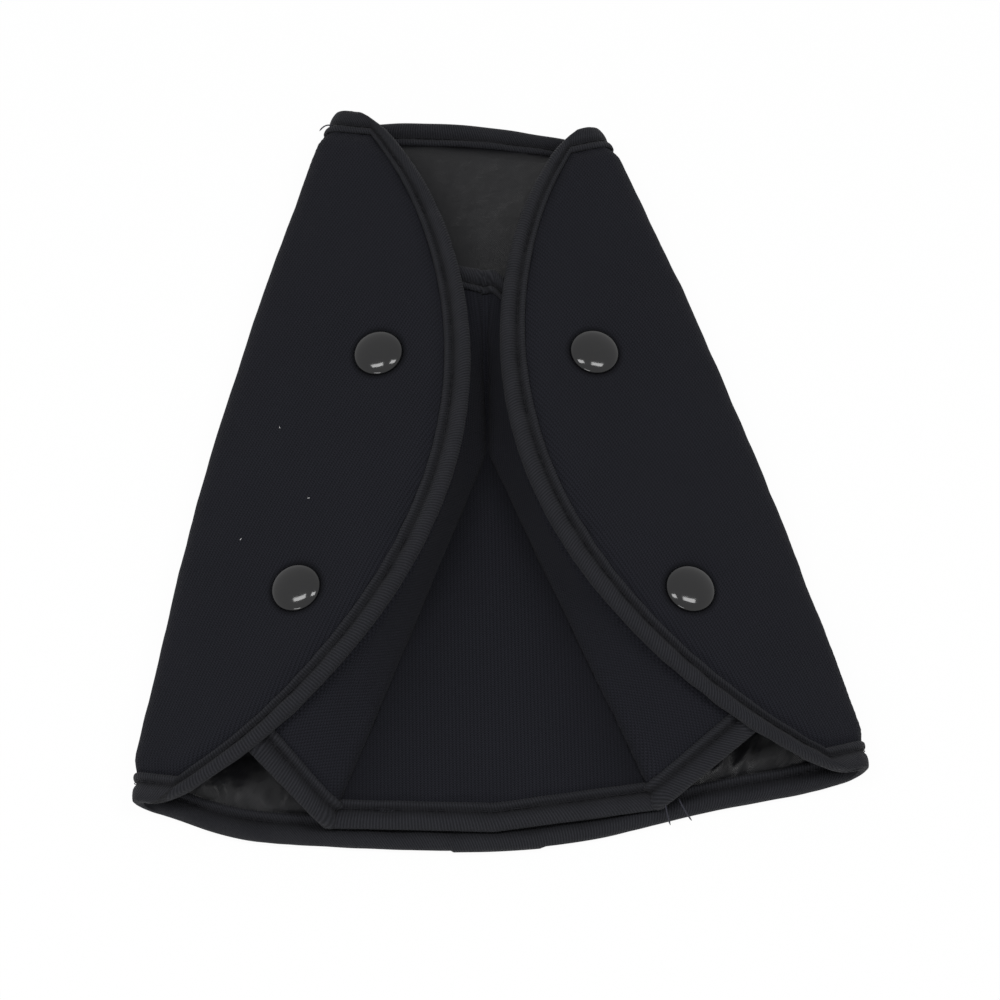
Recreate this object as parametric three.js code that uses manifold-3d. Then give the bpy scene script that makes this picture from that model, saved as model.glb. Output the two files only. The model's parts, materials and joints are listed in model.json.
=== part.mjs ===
// A soft pad that holds a car's shoulder belt and lap belt low on a child, in millimetres.
// It lies on its back: +X to the right, +Y toward its narrow end, +Z out of its front.
// The origin is on the floor, at the middle of its back.
import * as THREE from "three";
import Module from "manifold-3d";
import { mergeVertices } from "three/addons/utils/BufferGeometryUtils.js";

const wasm = await Module();
wasm.setup();

// Folded outline: where the two fold lines start and end, seen from the front
const LEFT_FOLD = { x_top: -50.2, y_top: 120, x_bottom: -108.5, y_bottom: -103 };
const RIGHT_FOLD = { x_top: 36.2, y_top: 113, x_bottom: 108.3, y_bottom: -96.5 };
const FOLD_BOW = { left: 5, right: 3.2 }; // how far the middle of a fold swells outwards
const CORNER_PULL = 2.5; // how far the tape draws each corner in
const CORNER_REACH = 14; // length of fold that this draws in
const BOTTOM_SAG = 15.5; // how far the middle of the bottom edge drops below its corners

// Wings: cut as lenses, from corner to corner of the fold
const WING_SWEEP = { left: 89.8, right: 84.6 }; // flat cloth past the start of the fold, at the widest
const CORNER_LIP = 19; // the same at the corners
const WING_PEAK = 0.505; // where the wing is widest, as a share of the length from the bottom
const WING_FULLNESS = 0.63; // lower is squarer
const FOLD_RADIUS = 6.5;
const WING_RISE_BOTTOM = 25; // slope of the wing over the fold, degrees
const WING_RISE_TOP = 13;
const WING_ARCH = 13; // how much of that slope is gone at the free edge, degrees

// Layers of the shell, from the outside in
const COVER = 0.6;
const LINING = 0.5;
const PLY_GAP = 0.35;
const SHELL_THICK = 3.8;
const PANEL_THICK = 2.6;
const TAPE_WIDTH = 8;
const TAPE = 0.6;
const TAPE_WEB = 0.5; // tape across the edge of the plies
const TAPE_SEAM = 3; // grid line inside the tape
const PLY_INSET = 1.4; // the cloth ends this far inside the tape's outer edge
const PUFFED = 17; // the plies are pressed together under the tape, and have their full height from here

// Inner panel
const PANEL_LOW = 0.09; // its flaps meet the wings between these shares of the wing's length
const PANEL_HIGH = 0.797;
const CREASE_FOOT = { left: { x: -52, y: -111.5 }, right: { x: 47, y: -107.5 } };
const CREASE_APEX = { x: -2.5, half: 2.5, y: 4 };
const PANEL_TOP = 61;
const NECK_LEVEL = 0.75; // share of the flaps' rise that the panel's middle has at its top edge
const PANEL_SAG = 4; // how far the middle of its bottom edge drops
const FLAP_TUCK = 41; // length of a flap under the wing
const FLAP_TUCK_SHARE = 0.7; // and at most this share of the wing there
const FLAP_EDGE_DROP = 4.7; // front of a flap below the front of the wing, at the wing's edge
const FLAP_ROUND = 5; // distance over which a crease is rounded
const FLAP_SHARES = [0, 0.15, 0.3, 0.45, 0.7, 1]; // points of a flap's section, as shares of its tuck
const FLAP_ROOM = 1.5; // height kept for the flap between the back and the wing, in panel thicknesses

// Press studs
const CAP_RADIUS = 7.5;
const CAP_HEIGHT = 2.6;
const CAP_RIM = 0.9;
const CAP_STEPS = 5;
const POST_RADIUS = 1.8;
const POST_CLEAR = 0.35;
const SEAT_CLEAR = 0.3;
const SOCKET_RADIUS = 5.2;
const SOCKET_HEIGHT = 2.9;
const SOCKET_FLANGE = 0.9;
const KNOB_RADIUS = 2.1;
const STUD_FLANGE = 0.8;
const RIVET_RADIUS = 4.6;
const RIVET_THICK = 0.8;
const RIVET_TAPER = 0.3;
const CUP_WALL = 1.2; // socket's spring cup at its mouth
const CUP_FLARE = 0.3; // and how much thicker it is at its flange
const KNOB_WAIST = 0.3; // how much slimmer the knob is at its foot
const KNOB_BEVEL = 0.5;
const SNAPS = {
  upper_left: { side: -1, t: 0.64, from_edge: 28.5 },
  upper_right: { side: 1, t: 0.655, from_edge: 29.5 },
  lower_left: { side: -1, t: 0.3, from_edge: 27.5 },
  lower_right: { side: 1, t: 0.29, from_edge: 23.5 },
};

// Mesh steps
const EDGE_ROW = 30;
const SHELL_ROW_STEP = 21;
const PANEL_ROW_STEP = 20;
const FOLD_STEPS = 5;
const FOLD_TURN = 130; // degrees of the fold that get steps of their own
const ROUND_SIDES = 16;
const HOLE_SIDES = 12;
const WELD = 0.001; // points closer than this are one
const BEND_SHARE = 0.15; // share of a flap's tuck that its bend may take
const NEAR_SHARE = 0.4; // the same for the flap's rise
const MIDDLE_SHARE = 0.6; // the same for half of the panel's middle
const BEND_REACH = 4; // distance of the grid lines on either side of a bend
const SLOPE_ACROSS = 0.4; // steps over which a surface's slope is taken
const SLOPE_ALONG = 0.002; // share of the length

const rad = THREE.MathUtils.degToRad;
const lerp = THREE.MathUtils.lerp;
const clamp = THREE.MathUtils.clamp;
const smooth = THREE.MathUtils.smoothstep;

const knit = new THREE.MeshStandardMaterial({ color: 0x202126, roughness: 0.95, metalness: 0 });
const satin = new THREE.MeshStandardMaterial({ color: 0x2c2e33, roughness: 0.55, metalness: 0 });
const foam = new THREE.MeshStandardMaterial({ color: 0x3a3a3c, roughness: 1, metalness: 0 });
const tape = new THREE.MeshStandardMaterial({ color: 0x222328, roughness: 0.85, metalness: 0 });
const gloss = new THREE.MeshStandardMaterial({ color: 0x17181b, roughness: 0.15, metalness: 0 });
const resin = new THREE.MeshStandardMaterial({ color: 0x1c1d20, roughness: 0.4, metalness: 0 });

// The shell's outer surface
const LENGTH = LEFT_FOLD.y_top - LEFT_FOLD.y_bottom;

function foldOf(side) {
  return side < 0 ? LEFT_FOLD : RIGHT_FOLD;
}

function ofSide(values, side) {
  return side < 0 ? values.left : values.right;
}

// Direction out of the pad, square to a fold line, in plan
function outward(side) {
  const f = foldOf(side);
  const run = new THREE.Vector2(f.x_top - f.x_bottom, f.y_top - f.y_bottom).normalize();
  return side < 0 ? new THREE.Vector2(-run.y, run.x) : new THREE.Vector2(run.y, -run.x);
}

// Where the back stops and the fold starts
function backEnd(side, t) {
  const f = foldOf(side);
  const toCorner = LENGTH * Math.min(t, 1 - t);
  const pull = CORNER_PULL * (1 - smooth(toCorner, -CORNER_REACH / 2, CORNER_REACH));
  const swell = ofSide(FOLD_BOW, side) * Math.sin(Math.PI * clamp(t, 0, 1));
  const bow = swell - FOLD_RADIUS - pull;
  const o = outward(side);
  return new THREE.Vector2(
    lerp(f.x_bottom, f.x_top, t) + bow * o.x,
    lerp(f.y_bottom, f.y_top, t) + bow * o.y,
  );
}

function halfBack(t) {
  return backEnd(-1, t).distanceTo(backEnd(1, t)) / 2;
}

// Flat width past the start of the fold
function sweepAt(side, t) {
  const power = Math.log(0.5) / Math.log(1 - WING_PEAK);
  const along = Math.pow(clamp(1 - t, 0, 1), power);
  const lens = Math.pow(Math.max(Math.sin(Math.PI * along), 0), WING_FULLNESS);
  return CORNER_LIP + (ofSide(WING_SWEEP, side) - CORNER_LIP) * lens;
}

function edgeAt(side, t) {
  return halfBack(t) + sweepAt(side, t);
}

// Point at the flat distance s across from the middle (negative to the left), at share t of the length
function shellPoint(s, t) {
  const side = s < 0 ? -1 : 1;
  const half = halfBack(t);
  const past = Math.abs(s) - half;
  if (past <= 0) {
    const u = s / half;
    const p = backEnd(-1, t).lerp(backEnd(1, t), (1 + u) / 2);
    return new THREE.Vector3(p.x, p.y - BOTTOM_SAG * (1 - t) * (1 - u * u), 0);
  }
  const rise = rad(lerp(WING_RISE_BOTTOM, WING_RISE_TOP, t));
  const turned = Math.PI - rise;
  const end = FOLD_RADIUS * turned;
  let r = 0;
  let z = 0;
  if (past <= end) {
    r = FOLD_RADIUS * Math.sin(past / FOLD_RADIUS);
    z = FOLD_RADIUS * (1 - Math.cos(past / FOLD_RADIUS));
  } else {
    const bend = rad(WING_ARCH) / (ofSide(WING_SWEEP, side) - end);
    const angle = turned + bend * (past - end);
    r = FOLD_RADIUS * Math.sin(turned) + (Math.sin(angle) - Math.sin(turned)) / bend;
    z = FOLD_RADIUS * (1 - Math.cos(turned)) + (Math.cos(turned) - Math.cos(angle)) / bend;
  }
  const q = backEnd(side, t);
  const o = outward(side);
  return new THREE.Vector3(q.x + o.x * r, q.y + o.y * r, z);
}

// The inner panel's underside
const PANEL_LIFT = SHELL_THICK + SEAT_CLEAR;
function creaseAt(side, t) {
  const foot = ofSide(CREASE_FOOT, side);
  const y = lerp(foot.y, PANEL_TOP, t);
  const share = clamp((CREASE_APEX.y - y) / (CREASE_APEX.y - foot.y), 0, 1);
  return new THREE.Vector3(lerp(CREASE_APEX.x + side * CREASE_APEX.half, foot.x, share), y, PANEL_LIFT);
}

function tuckAt(side, t) {
  const wing = sweepAt(side, t) - FOLD_RADIUS * Math.PI;
  return Math.min(FLAP_TUCK, FLAP_TUCK_SHARE * wing);
}

// Depth of the flap's front under the wing's front, at a distance in from the wing's edge
const FLAP_DEPTH = SHELL_THICK + SEAT_CLEAR + SOCKET_HEIGHT + SEAT_CLEAR + STUD_FLANGE + 2 * SEAT_CLEAR;
function flapDepth(inset) {
  return lerp(FLAP_EDGE_DROP, FLAP_DEPTH, smooth(inset, TAPE_WIDTH / 2, TAPE_WIDTH * 1.4));
}

// Underside of a flap from the wing's edge inwards, at share t of the panel
function flapPoints(side, t) {
  const wingT = lerp(PANEL_LOW, PANEL_HIGH, t);
  const tuck = tuckAt(side, wingT);
  return FLAP_SHARES.map((share) => {
    const inset = TAPE_WIDTH / 2 + tuck * share;
    const place = side * (edgeAt(side, wingT) - inset);
    const room = shellPoint(place, wingT).z - PANEL_LIFT - FLAP_ROOM * PANEL_THICK;
    return offsetPoint(shellPoint, place, wingT, Math.min(flapDepth(inset), room) + PANEL_THICK);
  });
}

const panelRows = new Map();
function panelRow(t) {
  const key = t.toFixed(7);
  if (panelRows.has(key)) return panelRows.get(key);
  const middle = creaseAt(-1, t).lerp(creaseAt(1, t), 1 / 2);
  const neck = NECK_LEVEL * smooth(middle.y, CREASE_APEX.y, PANEL_TOP);
  const flaps = { [-1]: flapPoints(-1, t), 1: flapPoints(1, t) };
  const level = lerp(PANEL_LIFT, (flaps[-1][0].z + flaps[1][0].z) / 2, neck);
  middle.y -= PANEL_SAG * (1 - t);
  middle.z = level;
  const row = { half: [], flat: [], bend: [], table: [] };
  for (const side of [-1, 1]) {
    const crease = creaseAt(side, t).setZ(level);
    row.table[side] = arcTable(roundCorners([middle, crease, ...flaps[side]]));
    row.half[side] = row.table[side].at(-1).s;
    row.flat[side] = middle.distanceTo(crease);
    row.bend[side] = row.flat[side] + crease.distanceTo(flaps[side][0]);
  }
  panelRows.set(key, row);
  return row;
}

// Replaces the two creases of a flap's section by smooth bends
function roundCorners(points) {
  const out = [points[0]];
  points.slice(1, -1).forEach((p, i) => {
    const before = points[i];
    const after = points[i + 2];
    const reach = Math.min(FLAP_ROUND, before.distanceTo(p) / 2, after.distanceTo(p) / 2);
    const a = p.clone().add(before.clone().sub(p).setLength(reach));
    const b = p.clone().add(after.clone().sub(p).setLength(reach));
    out.push(...new THREE.QuadraticBezierCurve3(a, p, b).getPoints(4));
  });
  out.push(points.at(-1));
  return out;
}

function arcTable(points) {
  let s = 0;
  return points.map((p, i) => {
    if (i) s += p.distanceTo(points[i - 1]);
    return { s, p };
  });
}

function panelPoint(s, t) {
  const row = panelRow(t);
  const table = row.table[s < 0 ? -1 : 1];
  const d = Math.abs(s);
  let i = 1;
  while (i < table.length - 1 && table[i].s < d) i += 1;
  const a = table[i - 1];
  const b = table[i];
  return a.p.clone().lerp(b.p, (d - a.s) / (b.s - a.s));
}

// A point moved into the pad, square to its surface
function offsetPoint(surface, s, t, depth) {
  const across = surface(s + SLOPE_ACROSS, t).sub(surface(s - SLOPE_ACROSS, t));
  const along = surface(s, t + SLOPE_ALONG).sub(surface(s, t - SLOPE_ALONG));
  return surface(s, t).addScaledVector(across.cross(along).normalize(), depth);
}

// Closed mesh of one piece of a pad. Its grid has the given lines near the edge, and levels are depths.
// A cell is counted in from the outline, and filled says which of its slabs are solid.
function slabGeometry(pad, edges, levels, filled) {
  const rows = pad.rows(edges);
  const lines = rows.map((y) => pad.columns(y / pad.length, edges));
  const last = { row: rows.length - 1, column: lines[0].length - 1 };
  const positions = [];
  const insetOf = (i, count) => edges[Math.min(i, count - i)] ?? PUFFED;
  levels.forEach((depthOf) => {
    rows.forEach((y, i) => {
      lines[i].forEach((s, j) => {
        const e = Math.min(insetOf(i, last.row), insetOf(j, last.column));
        positions.push(...offsetPoint(pad.surface, s, y / pad.length, depthOf(e)).toArray());
      });
    });
  });
  const at = (i, j, k) => (k * rows.length + i) * (last.column + 1) + j;
  const solid = (i, j, k) => {
    const inside = Math.min(i, j, last.row - 1 - i, last.column - 1 - j);
    return inside >= 0 && k >= 0 && k < levels.length - 1 && filled(inside, k);
  };
  const faces = [];
  const face = (a, b, c, d) => faces.push(a, b, c, a, c, d);
  for (let k = 0; k < levels.length - 1; k += 1) {
    for (let i = 0; i < last.row; i += 1) {
      for (let j = 0; j < last.column; j += 1) {
        if (!solid(i, j, k)) continue;
        const low = [at(i, j, k), at(i + 1, j, k), at(i + 1, j + 1, k), at(i, j + 1, k)];
        const high = [at(i, j, k + 1), at(i + 1, j, k + 1), at(i + 1, j + 1, k + 1), at(i, j + 1, k + 1)];
        if (!solid(i, j, k - 1)) face(...low);
        if (!solid(i, j, k + 1)) face(high[0], high[3], high[2], high[1]);
        if (!solid(i, j - 1, k)) face(low[0], high[0], high[1], low[1]);
        if (!solid(i + 1, j, k)) face(low[1], high[1], high[2], low[2]);
        if (!solid(i, j + 1, k)) face(low[2], high[2], high[3], low[3]);
        if (!solid(i - 1, j, k)) face(low[3], high[3], high[0], low[0]);
      }
    }
  }
  return indexed(positions, faces);
}

function indexed(positions, faces) {
  const geometry = new THREE.BufferGeometry();
  geometry.setAttribute("position", new THREE.Float32BufferAttribute(positions, 3));
  geometry.setIndex(faces);
  return geometry;
}

// Depths of the plies, which are pressed together under the tape
const pressedCover = TAPE + PLY_GAP;
const pressedLining = pressedCover + COVER + PLY_GAP;
const TAPE_DEPTH = pressedLining + LINING + PLY_GAP + TAPE;
const press = (e) => 1 - smooth(e, TAPE_WIDTH, PUFFED);
const coverDepth = (e) => pressedCover * press(e);
const liningDepth = (thick) => (e) => lerp(thick - LINING, pressedLining, press(e));

function rowsOf(length, step) {
  return (edges) => {
    const low = [...edges, EDGE_ROW];
    const count = Math.round((length - 2 * EDGE_ROW) / step);
    const middle = Array.from({ length: count - 1 }, (_, i) => (
      lerp(EDGE_ROW, length - EDGE_ROW, (i + 1) / count)
    ));
    return [...low, ...middle, ...low.map((y) => length - y).reverse()];
  };
}

// Distance of a grid line from the edge, less than it is named for where the cloth is narrow
function insetLine(named, width) {
  return named / Math.hypot(1, named / width);
}

// Places of the grid's lines across the shell, from the middle out
function shellColumns(t, edges) {
  const half = halfBack(t);
  const foldEnd = FOLD_RADIUS * rad(FOLD_TURN);
  const columns = (side) => {
    const sweep = sweepAt(side, t);
    const wing = sweep - foldEnd;
    const places = [half / 2, half];
    for (let i = 1; i <= FOLD_STEPS; i += 1) places.push(half + (foldEnd * i) / FOLD_STEPS);
    const plain = wing - insetLine(edges.at(-1), wing);
    places.push(half + foldEnd + Math.min(plain / 3, FOLD_RADIUS));
    places.push(half + foldEnd + (plain * 2) / 3);
    [...edges].reverse().forEach((e) => places.push(half + sweep - insetLine(e, wing)));
    return places.map((s) => side * s);
  };
  return [...columns(-1).reverse(), 0, ...columns(1)];
}

const shell = { surface: shellPoint, length: LENGTH, columns: shellColumns };
shell.rows = rowsOf(LENGTH, SHELL_ROW_STEP);

// Places of the grid's lines across the inner panel, closer at its bends
function panelColumns(t, edges) {
  const { half, flat, bend } = panelRow(clamp(t, 0, 1));
  const side = (sign) => {
    const low = flat[sign];
    const high = bend[sign];
    const tuck = half[sign] - high;
    const turn = Math.min(BEND_REACH, tuck * BEND_SHARE);
    const near = Math.min(BEND_REACH, (high - low) * NEAR_SHARE);
    return [
      low - Math.min(BEND_REACH, low * MIDDLE_SHARE), low, low + near, (low + high) / 2,
      high - near, high, high + turn,
      ...[...edges].reverse().map((e) => half[sign] - insetLine(e, tuck * (1 - BEND_SHARE))),
    ].map((s) => sign * s);
  };
  return [...side(-1).reverse(), 0, ...side(1)];
}

const PANEL_LENGTH = PANEL_TOP - CREASE_FOOT.left.y;
const panel = { surface: panelPoint, length: PANEL_LENGTH, columns: panelColumns };
panel.rows = rowsOf(PANEL_LENGTH, PANEL_ROW_STEP);

// Booleans
function solidOf(geometry) {
  const bare = geometry.clone();
  bare.deleteAttribute("normal");
  bare.deleteAttribute("uv");
  const merged = mergeVertices(bare, WELD);
  return new wasm.Manifold(
    new wasm.Mesh({
      numProp: 3,
      vertProperties: merged.attributes.position.array,
      triVerts: new Uint32Array(merged.index.array),
    }),
  );
}

function geometryOf(solid) {
  const mesh = solid.getMesh();
  return indexed(mesh.vertProperties, new THREE.BufferAttribute(mesh.triVerts, 1));
}

// Place of a press stud: origin on the front of the wing, +Z out of it
function snapMatrix({ side, t, from_edge: inset }) {
  const s = side * (edgeAt(side, t) - inset);
  const front = shellPoint(s, t);
  const out = front.clone().sub(offsetPoint(shellPoint, s, t, 1)).normalize();
  const turn = new THREE.Quaternion().setFromUnitVectors(new THREE.Vector3(0, 0, 1), out);
  return new THREE.Matrix4().compose(front, turn, new THREE.Vector3(1, 1, 1));
}

function pierce(geometry) {
  let solid = solidOf(geometry);
  for (const snap of Object.values(SNAPS)) {
    const hole = new THREE.CylinderGeometry(
      POST_RADIUS + POST_CLEAR,
      POST_RADIUS + POST_CLEAR,
      2 * FLAP_DEPTH + PANEL_THICK,
      HOLE_SIDES,
    );
    hole.rotateX(Math.PI / 2).translate(0, 0, -FLAP_DEPTH / 2).applyMatrix4(snapMatrix(snap));
    solid = solid.subtract(solidOf(hole));
  }
  return geometryOf(solid);
}

function lathe(profile) {
  const points = profile.map(([r, z]) => new THREE.Vector2(r, z));
  return new THREE.LatheGeometry(points, ROUND_SIDES).rotateX(Math.PI / 2);
}

// Press stud pieces, with z measured down from the wing's front
const SOCKET_TOP = -(SHELL_THICK + SEAT_CLEAR);
const SOCKET_END = SOCKET_TOP - SOCKET_HEIGHT;
const STUD_TOP = SOCKET_END - SEAT_CLEAR;
const FLAP_TOP = -FLAP_DEPTH;
const RIVET_TOP = FLAP_TOP - PANEL_THICK - SEAT_CLEAR;

function capGeometry() {
  const dome = [];
  for (let i = 0; i <= CAP_STEPS; i += 1) {
    const a = (Math.PI / 2) * (1 - i / CAP_STEPS);
    dome.push([(CAP_RADIUS - CAP_RIM) * Math.cos(a), CAP_RIM + (CAP_HEIGHT - CAP_RIM) * Math.sin(a)]);
  }
  const end = SOCKET_TOP - SOCKET_FLANGE;
  return lathe([
    [0, end], [POST_RADIUS, end], [POST_RADIUS, SEAT_CLEAR], [CAP_RADIUS, SEAT_CLEAR],
    [CAP_RADIUS, CAP_RIM], ...dome.reverse(),
  ]);
}

function socketGeometry() {
  const bore = POST_RADIUS + POST_CLEAR;
  const cup = KNOB_RADIUS + POST_CLEAR;
  const floor = SOCKET_TOP - SOCKET_FLANGE - SEAT_CLEAR;
  return lathe([
    [bore, SOCKET_TOP], [bore, floor], [cup, floor], [cup, SOCKET_END], [cup + CUP_WALL, SOCKET_END],
    [cup + CUP_WALL + CUP_FLARE, SOCKET_TOP - SOCKET_FLANGE], [SOCKET_RADIUS, SOCKET_TOP - SOCKET_FLANGE],
    [SOCKET_RADIUS, SOCKET_TOP], [bore, SOCKET_TOP],
  ]);
}

function studGeometry() {
  const flange = STUD_TOP - STUD_FLANGE;
  const tip = SOCKET_TOP - SOCKET_FLANGE - 2 * SEAT_CLEAR;
  const end = RIVET_TOP - RIVET_THICK;
  return lathe([
    [0, end], [POST_RADIUS, end], [POST_RADIUS, flange], [SOCKET_RADIUS, flange],
    [SOCKET_RADIUS, STUD_TOP], [KNOB_RADIUS - KNOB_WAIST, STUD_TOP], [KNOB_RADIUS, tip - KNOB_BEVEL],
    [KNOB_RADIUS - KNOB_BEVEL, tip], [0, tip],
  ]);
}

function rivetGeometry() {
  const bore = POST_RADIUS + POST_CLEAR;
  return lathe([
    [bore, RIVET_TOP], [bore, RIVET_TOP - RIVET_THICK], [RIVET_RADIUS - RIVET_TAPER, RIVET_TOP - RIVET_THICK],
    [RIVET_RADIUS, RIVET_TOP], [bore, RIVET_TOP],
  ]);
}

const part = new THREE.Group();

function addPiece(name, geometry, material) {
  const mesh = new THREE.Mesh(geometry, material);
  mesh.name = name;
  part.add(mesh);
  return mesh;
}

function addPad(pad, names, thick) {
  const lining = liningDepth(thick);
  const coverEnd = (e) => coverDepth(e) + COVER;
  const liningEnd = (e) => lining(e) + LINING;
  const foamTop = () => COVER + PLY_GAP;
  const foamEnd = () => thick - LINING - PLY_GAP;
  const plies = [PLY_INSET, TAPE_SEAM, TAPE_WIDTH, PUFFED];
  const all = () => true;
  addPiece(names.cover, pierce(slabGeometry(pad, plies, [coverDepth, coverEnd], all)), knit);
  addPiece(names.foam, pierce(slabGeometry(pad, [PUFFED], [foamTop, foamEnd], all)), foam);
  addPiece(names.lining, pierce(slabGeometry(pad, plies, [lining, liningEnd], all)), names.finish);
  const legs = [0, TAPE, TAPE_DEPTH - TAPE, TAPE_DEPTH].map((depth) => () => depth);
  const lines = [0, TAPE_WEB, TAPE_SEAM, TAPE_WIDTH, PUFFED];
  const folded = (inside, slab) => inside === 0 || (inside <= 2 && slab !== 1);
  addPiece(names.binding, slabGeometry(pad, lines, legs, folded), tape);
}

const shellNames = { cover: "shell_cover", foam: "shell_foam", lining: "shell_lining" };
addPad(shell, { ...shellNames, binding: "shell_binding", finish: satin }, SHELL_THICK);
const panelNames = { cover: "inner_backing", foam: "inner_foam", lining: "inner_cover" };
addPad(panel, { ...panelNames, binding: "inner_binding", finish: knit }, PANEL_THICK);

const studPieces = {
  cap: [capGeometry, gloss],
  socket: [socketGeometry, resin],
  stud: [studGeometry, resin],
  rivet: [rivetGeometry, resin],
};
for (const [place, snap] of Object.entries(SNAPS)) {
  for (const [piece, [shape, material]] of Object.entries(studPieces)) {
    addPiece(`${place}_${piece}`, shape(), material).applyMatrix4(snapMatrix(snap));
  }
}

export default part;
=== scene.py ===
"""Dresses a child's seat belt shoulder pad: knit, satin lining, ribbed tape, thread and press studs."""

import json
import math

import bmesh
import bpy
import numpy as np
from mathutils import Matrix, Vector


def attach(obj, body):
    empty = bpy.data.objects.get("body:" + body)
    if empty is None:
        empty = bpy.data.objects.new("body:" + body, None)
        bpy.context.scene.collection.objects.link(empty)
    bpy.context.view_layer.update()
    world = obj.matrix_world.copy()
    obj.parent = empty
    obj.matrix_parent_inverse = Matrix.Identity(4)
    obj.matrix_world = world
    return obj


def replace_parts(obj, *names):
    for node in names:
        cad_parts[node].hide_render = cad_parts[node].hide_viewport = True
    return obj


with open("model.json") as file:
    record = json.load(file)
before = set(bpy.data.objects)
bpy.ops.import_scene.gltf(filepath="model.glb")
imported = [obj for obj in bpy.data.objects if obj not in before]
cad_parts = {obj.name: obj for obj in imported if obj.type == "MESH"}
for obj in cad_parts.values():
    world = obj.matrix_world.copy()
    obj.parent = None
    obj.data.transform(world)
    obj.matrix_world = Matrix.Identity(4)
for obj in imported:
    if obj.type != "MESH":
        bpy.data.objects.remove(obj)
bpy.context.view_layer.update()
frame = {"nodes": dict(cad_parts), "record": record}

bl_info = {
    "name": "Seat Belt Shoulder Pad",
    "version": (1, 0, 0),
    "blender": (4, 5, 0),
    "location": "View3D > Sidebar > Belt Pad",
    "description": "Builds the cloth, tape, thread, press studs and stage of a child's belt pad",
    "category": "Object",
}

MM = 0.001
BODY = "root"

# Folded outline of the shell, in millimetres, as in the part's source, but for two values:
# TOP_CROWN and BOTTOM_EASE move the middles of the top and lower edges, as the photograph shows
FOLDS = {-1: ((-50.2, 120.0), (-108.5, -103.0)), 1: ((36.2, 113.0), (108.3, -96.5))}
LENGTH = FOLDS[-1][0][1] - FOLDS[-1][1][1]
FOLD_BOW = {-1: 5.0, 1: 3.2}
CORNER_PULL = 2.5
CORNER_REACH = 14.0
BOTTOM_SAG = 15.5
TOP_CROWN = 3.2
BOTTOM_EASE = {-1: (-2.2, 2.4), 1: (2.8, 1.3)}
WING_SWEEP = {-1: 89.8, 1: 84.6}
CORNER_LIP = 19.0
WING_PEAK = 0.505
WING_FULLNESS = 0.63
FOLD_RADIUS = 6.5
WING_RISE_BOTTOM = 25.0
WING_RISE_TOP = 13.0
WING_ARCH = 13.0
TOP_CROWN_START = 0.8
BOTTOM_EASE_END = 0.25
FOLD_END = FOLD_RADIUS * math.radians(130)

# Layers
COVER = 0.6
LINING = 0.5
PLY_GAP = 0.35
SHELL_THICK = 3.8
PANEL_THICK = 2.6
TAPE = 0.6
TAPE_WIDTH = 8.0
PLY_INSET = 1.4
PUFFED = 17.0
PRESSED_COVER = TAPE + PLY_GAP
PRESSED_LINING = PRESSED_COVER + COVER + PLY_GAP
TAPE_DEPTH = PRESSED_LINING + LINING + PLY_GAP + TAPE

# Rows and columns of the plies beside an edge: distances in from it
EDGE_LINES = np.array([PLY_INSET, 2.2, 3.4, 5.0, 6.6, 7.6, 8.2, 8.8, 9.6, 10.6, 12.0, 14.0, PUFFED])
# Distances from the tape's inner edge between which the plies rise from pressed to full
PRESS_START = -0.6
PRESS_END = 4.5

# Inner panel: the crease's foot is steeper than in the source, for the valley that the photograph shows
PANEL_LOW = 0.09
PANEL_HIGH = 0.797
CREASE_FOOT = {-1: (-52.0, -111.5), 1: (47.0, -107.5)}
CREASE_APEX_X = -2.5
CREASE_APEX_HALF = 2.5
CREASE_APEX_Y = 4.0
PANEL_TOP = 61.0
NECK_LEVEL = 0.75
PANEL_LENGTH = PANEL_TOP - CREASE_FOOT[-1][1]
PANEL_SAG = 4.0
FLAP_TUCK = 41.0
FLAP_TUCK_SHARE = 0.7
FLAP_EDGE_DROP = 4.7
FLAP_ROUND = 1.8
CREASE_STEP = 0.9
CREASE_RISE = 4.4
# How far in from a crease the painted shade along it starts
CREASE_FRONT = 2.2
FLAP_LINES = 0.85
FLAP_SHARES = np.array([0, 0.15, 0.3, 0.45, 0.7, 1])
FLAP_ROOM = 1.5
SEAT_CLEAR = 0.3
SOCKET_HEIGHT = 2.9
STUD_FLANGE = 0.8
PANEL_LIFT = SHELL_THICK + SEAT_CLEAR
FLAP_DEPTH = SHELL_THICK + SEAT_CLEAR + SOCKET_HEIGHT + SEAT_CLEAR + STUD_FLANGE + 2 * SEAT_CLEAR

# Press studs: side, share of the length, distance from the wing's edge
SNAPS = {
    "upper_left": (-1, 0.64, 28.5),
    "upper_right": (1, 0.655, 29.5),
    "lower_left": (-1, 0.3, 27.5),
    "lower_right": (1, 0.29, 23.5),
}
# The cloth is held down round a stud, and a shadow is painted into the knit right beside its cap
HELD_REACH = 9.5
HELD_DEPTH = 0.15
CAP_SHADOW_RING = (0.0076, 0.0092)
CAP_RIM = 0.0006
CAP_GAP = 0.00009
CAP_EDGE = 0.00012
DOME_RINGS = (0.997, 0.985, 0.965, 0.93, 0.88, 0.8, 0.7, 0.58, 0.45, 0.3, 0.15)
POST_RADIUS = 0.0018
POST_LENGTH = 0.0045

# Lock stitches: distance in from the edge, and depth under the tape's face
STITCH_LINE = 5.5
STITCH_SINK = 0.32

# Cut ends of the sewing thread, in millimetres, and specks of lint placed as the press studs are
LOOSE_ENDS = (
    ((46.6, -104.6, 9.0), (47.2, -110.6, 10.8), (48.4, -112.2, 5.2)),
    ((50.8, -105.4, 9.4), (52.4, -109.8, 10.6), (54.6, -111.0, 5.4)),
    ((-49.2, 113.6, 10.4), (-51.6, 114.2, 11.4), (-53.4, 111.9, 10.4)),
)
LINT = ((-1, 0.4225, 38.5), (-1, 0.515, 55.25), (-1, 0.355, 52.75))
LINT_LENGTH = 0.8
LOOSE_THREAD = 0.24


def lerp(a, b, t):
    return a + (b - a) * t


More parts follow.
